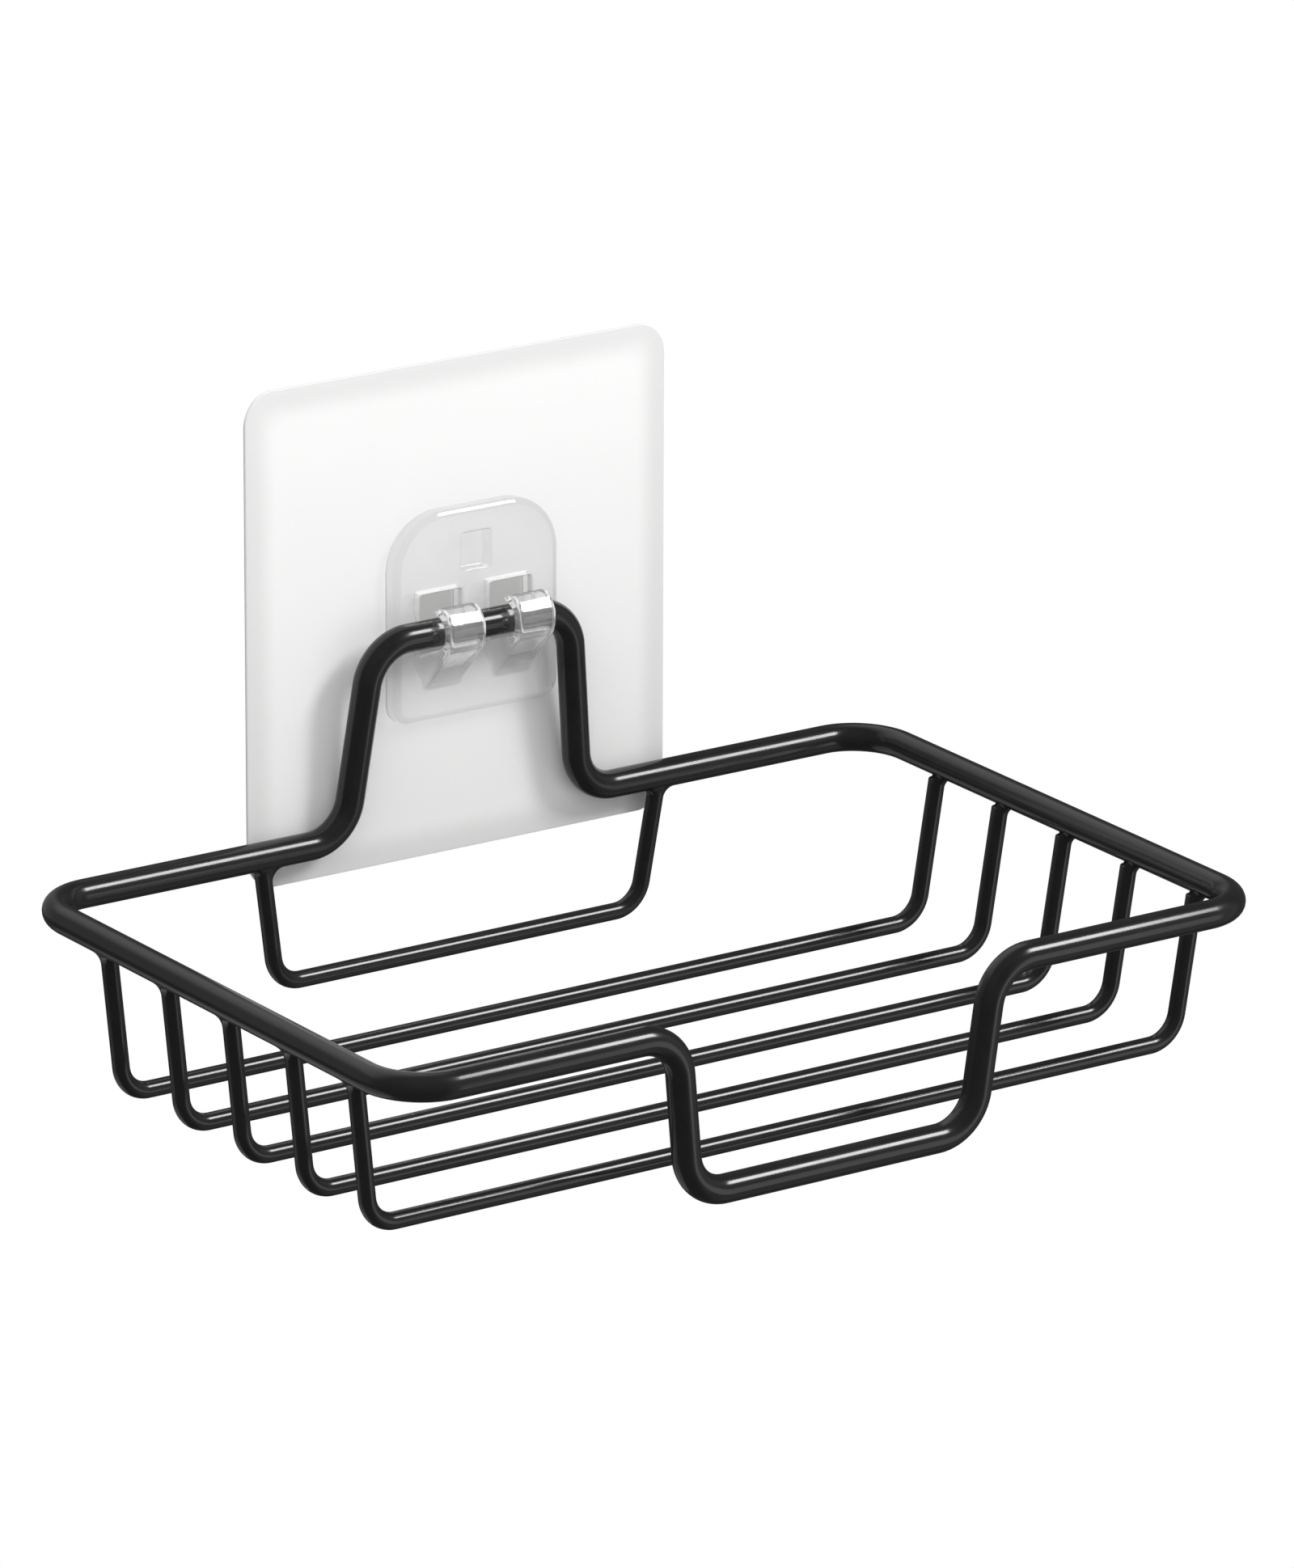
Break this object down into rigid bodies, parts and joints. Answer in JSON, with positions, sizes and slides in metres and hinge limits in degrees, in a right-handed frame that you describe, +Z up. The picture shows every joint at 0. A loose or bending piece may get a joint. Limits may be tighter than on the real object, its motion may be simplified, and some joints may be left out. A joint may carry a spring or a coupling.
{
  "type": "wall-mounted soap holder",
  "caption": "Black wire soap basket with a dipped front rail, hung by its bar in two clear fingers on a square stick-on wall plate.",
  "frame": {"origin": "middle of the adhesive pad's back face, in the plane of the wall", "axes": "+Z up, +Y out of the adhesive's back face into the wall, so the basket reaches out along -Y; +X to the right as seen by someone facing the wall"},
  "size_m": [0.1448, 0.0919, 0.0935],
  "materials": {
    "clear_gel": "clear soft adhesive gel",
    "frosted_plastic": "frosted translucent sheet, smooth",
    "clear_plastic": "clear moulded plastic, polished",
    "black_coated_steel": "satin black baked coating over steel wire"
  },
  "bodies": {
    "wall_unit": {"adhesive_pad": "clear_gel", "backing_sheet": "frosted_plastic", "hook_plate": "clear_plastic"},
    "bar": {"hanger_bar": "black_coated_steel"},
    "basket": {"frame_wire": "black_coated_steel", "floor_wire_1": "black_coated_steel", "floor_wire_2": "black_coated_steel", "floor_wire_3": "black_coated_steel", "floor_wire_4": "black_coated_steel", "floor_wire_5": "black_coated_steel", "back_wire": "black_coated_steel", "weld_left_1": "black_coated_steel", "weld_left_2": "black_coated_steel", "weld_left_3": "black_coated_steel", "weld_left_4": "black_coated_steel", "weld_left_5": "black_coated_steel", "weld_right_1": "black_coated_steel", "weld_right_2": "black_coated_steel", "weld_right_3": "black_coated_steel", "weld_right_4": "black_coated_steel", "weld_right_5": "black_coated_steel", "weld_back_left": "black_coated_steel", "weld_back_right": "black_coated_steel"}
  },
  "joints": [
    {"name": "bar_slide", "type": "slide", "parent": "wall_unit", "child": "bar", "axis": [1, 0, 0], "range_m": [0, 0.005]},
    {"name": "basket_swing", "type": "hinge", "parent": "bar", "child": "basket", "pos_m": [-0.001, -0.0058, -0.0018], "axis": [-1, 0, 0], "range_deg": [0, 110]}
  ]
}
